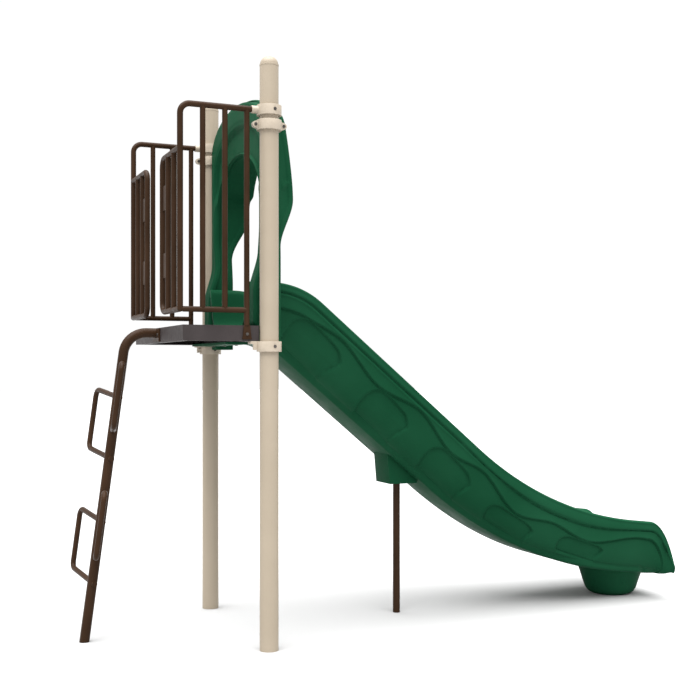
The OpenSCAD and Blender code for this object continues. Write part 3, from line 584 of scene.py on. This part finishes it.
def hoodRing(outer, inner):
    away = inner - outer
    thick = float(np.linalg.norm(away))
    away = away / thick
    p = hoodSection()
    crown = smooth((thick - 0.09) / 0.16)
    soft = 1 + crown * (hood["roundTop"] / hood["round"] - 1) * (p[:, 1] == 0) * (p[:, 2] > 0)
    u = p[:, 1] * thick + p[:, 3] * soft
    u = u + hood["visor"] * crown * (u / thick) ** 2 * p[:, 0]
    share = u / thick
    up = outer[1] + away[1] * u - deckTop
    x0, x1 = hoodFront(up), hoodRear(up)
    x = mix(x0, x1, p[:, 0]) + p[:, 2] * soft
    edge = np.minimum(x - x0, x1 - x)
    outside, inside = smooth((0.2 - share) / 0.1), smooth((share - 0.8) / 0.1)
    hollow = smooth((edge - hood["lip"]) / 0.010) * hood["lipHigh"]
    # Oval pad near the rear of a wing
    padX, padUp, longHalf, shortHalf, turn = hood["pad"]
    dx, dz = x - padX, up - padUp
    c, s = math.cos(math.radians(turn)), math.sin(math.radians(turn))
    oval = np.hypot((dx * c + dz * s) / longHalf, (dz * c - dx * s) / shortHalf)
    shifted = u + hollow * (outside - inside)
    shifted = shifted - hood["padHigh"] * smooth((1.15 - oval) / 0.35) * outside
    # The front of the crown has a step in it
    stepAt, stepDeep = hood["step"]
    front = smooth((x0 + 0.006 - x) / 0.004) * smooth((thick - 0.09) / 0.08)
    x = x + front * stepDeep * smooth((share - stepAt) / 0.05)
    x = x + front * 0.005 * dent(share - stepAt + 0.03, 0.03)
    y = outer[0] + away[0] * shifted
    z = outer[1] + away[1] * shifted
    lean = hood["lean"] * smooth((x - 0.04) / 0.12) * bump(up, *hood["leanAt"])
    y = y - np.sign(y) * lean * smooth(np.abs(y) / 0.2)
    return np.stack([postX + x, y, z], 1)


def buildHood():
    springZ = deckTop + hood["spring"]
    openZ = deckTop + hood["openSpring"]
    rise = hood["crown"] - hood["spring"]
    lowZ = deckTop - hood["drop"]

    def legThick(up):
        return mix(hood["leg"], hood["legHigh"], float(smooth((up - 0.25) / 0.25)))

    near = []
    for k in range(hood["legRings"]):
        z = mix(lowZ, openZ, k / hood["legRings"])
        near.append(hoodRing(np.array([-hoodY, z]), np.array([-hoodY + legThick(z - deckTop), z])))
    # The inside is half an ellipse. The outside first goes on straight, then arches.
    innerHalf = hoodY - legThick(hood["openSpring"])
    openRise = hood["open"] - hood["openSpring"]
    straight = 2 * hood["straight"]
    quarter = []
    for k in range(hood["archRings"] + 1):
        t = k / hood["archRings"]
        a = math.pi / 2 * t
        inner = np.array([-innerHalf * math.cos(a), openZ + openRise * math.sin(a)])
        if t < straight:
            outer = np.array([-hoodY, mix(openZ, springZ, t / straight)])
        else:
            turn = math.pi / 2 * (t - straight) / (1 - straight)
            outer = np.array([-hoodY * max(math.cos(turn), 0), springZ + rise * math.sin(turn)])
        quarter.append(hoodRing(outer, inner))
    half = near + quarter
    far = [ring * (1, -1, 1) for ring in half[-2::-1]]
    return skin("hood_shell", half + far, "moulded", ["slide_hood"])


hoodShell = buildHood()
print("hood is built with", len(hoodShell.data.vertices), "points")

# Castings, block and foot

casting = {
    "edge": 0.0022,          # edge radius
    "facets": 3,
    "sharper": 35,           # degrees: only edges sharper than this are rounded
    "seat": 0.002,           # the block and the foot reach this far into the slide
}


def soften(node, under=None):
    # The node again with rounded edges. What stands under the slide ends at its underside.
    mesh = bpy.data.meshes.new("soft_" + node)
    work = bmesh.new()
    work.from_mesh(nodes[node].data)
    work.transform(nodes[node].matrix_world)
    if under is not None:
        for point in work.verts:
            point.co.z = min(point.co.z, float(np.interp(point.co.x, under[:, 0], under[:, 1])))
    bmesh.ops.remove_doubles(work, verts=work.verts, dist=0.00002)
    bmesh.ops.dissolve_limit(work, angle_limit=math.radians(1), verts=work.verts, edges=work.edges)
    sharpest = math.radians(casting["sharper"])
    sharp = [e for e in work.edges if len(e.link_faces) == 2 and e.calc_face_angle(0) > sharpest]
    bmesh.ops.bevel(
        work, geom=sharp, offset=casting["edge"], segments=casting["facets"], profile=0.5,
        affect="EDGES", clamp_overlap=True, loop_slide=True)
    for face in work.faces:
        face.smooth = True
    work.to_mesh(mesh)
    work.free()
    piece = bpy.data.objects.new("soft_" + node, mesh)
    bpy.context.scene.collection.objects.link(piece)
    paint(piece, slotOf[node])
    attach(piece, "root")
    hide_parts(node)
    return piece


slideRings = ringLines()[0]
underside = np.array([(postX + line[0][0], line[0][1] + casting["seat"]) for line in slideRings])
soft = [soften(node) for node in nodes if slotOf[node] == "cast"]
soft += [soften(node, underside) for node in ("leg_block", "exit_foot")]
print("pieces with rounded edges:", len(soft))

# Floor


floorPaper = {
    "tone": 0.42,
    "reach": 60.0,           # from the middle to each edge
    "below": 0.0005,         # under the feet of the slide
}


def buildFloor():
    reach = floorPaper["reach"]
    corners = [(-reach, -reach, 0), (reach, -reach, 0), (reach, reach, 0), (-reach, reach, 0)]
    mesh = bpy.data.meshes.new("floor")
    mesh.from_pydata(corners, [], [(0, 1, 2, 3)])
    floor = bpy.data.objects.new("floor", mesh)
    bpy.context.scene.collection.objects.link(floor)
    floor.location.z = -floorPaper["below"]
    material, shader = startMaterial("floor_paper")
    tone = floorPaper["tone"]
    tones = blendTones(material, noise(material, 0.6, 2.0), (tone * 0.99,) * 3, (tone,) * 3)
    join(material, tones, shader.inputs["Base Color"])
    shader.inputs["Roughness"].default_value = 0.9
    shader.inputs["Specular IOR Level"].default_value = 0.0
    mesh.materials.append(material)


buildFloor()
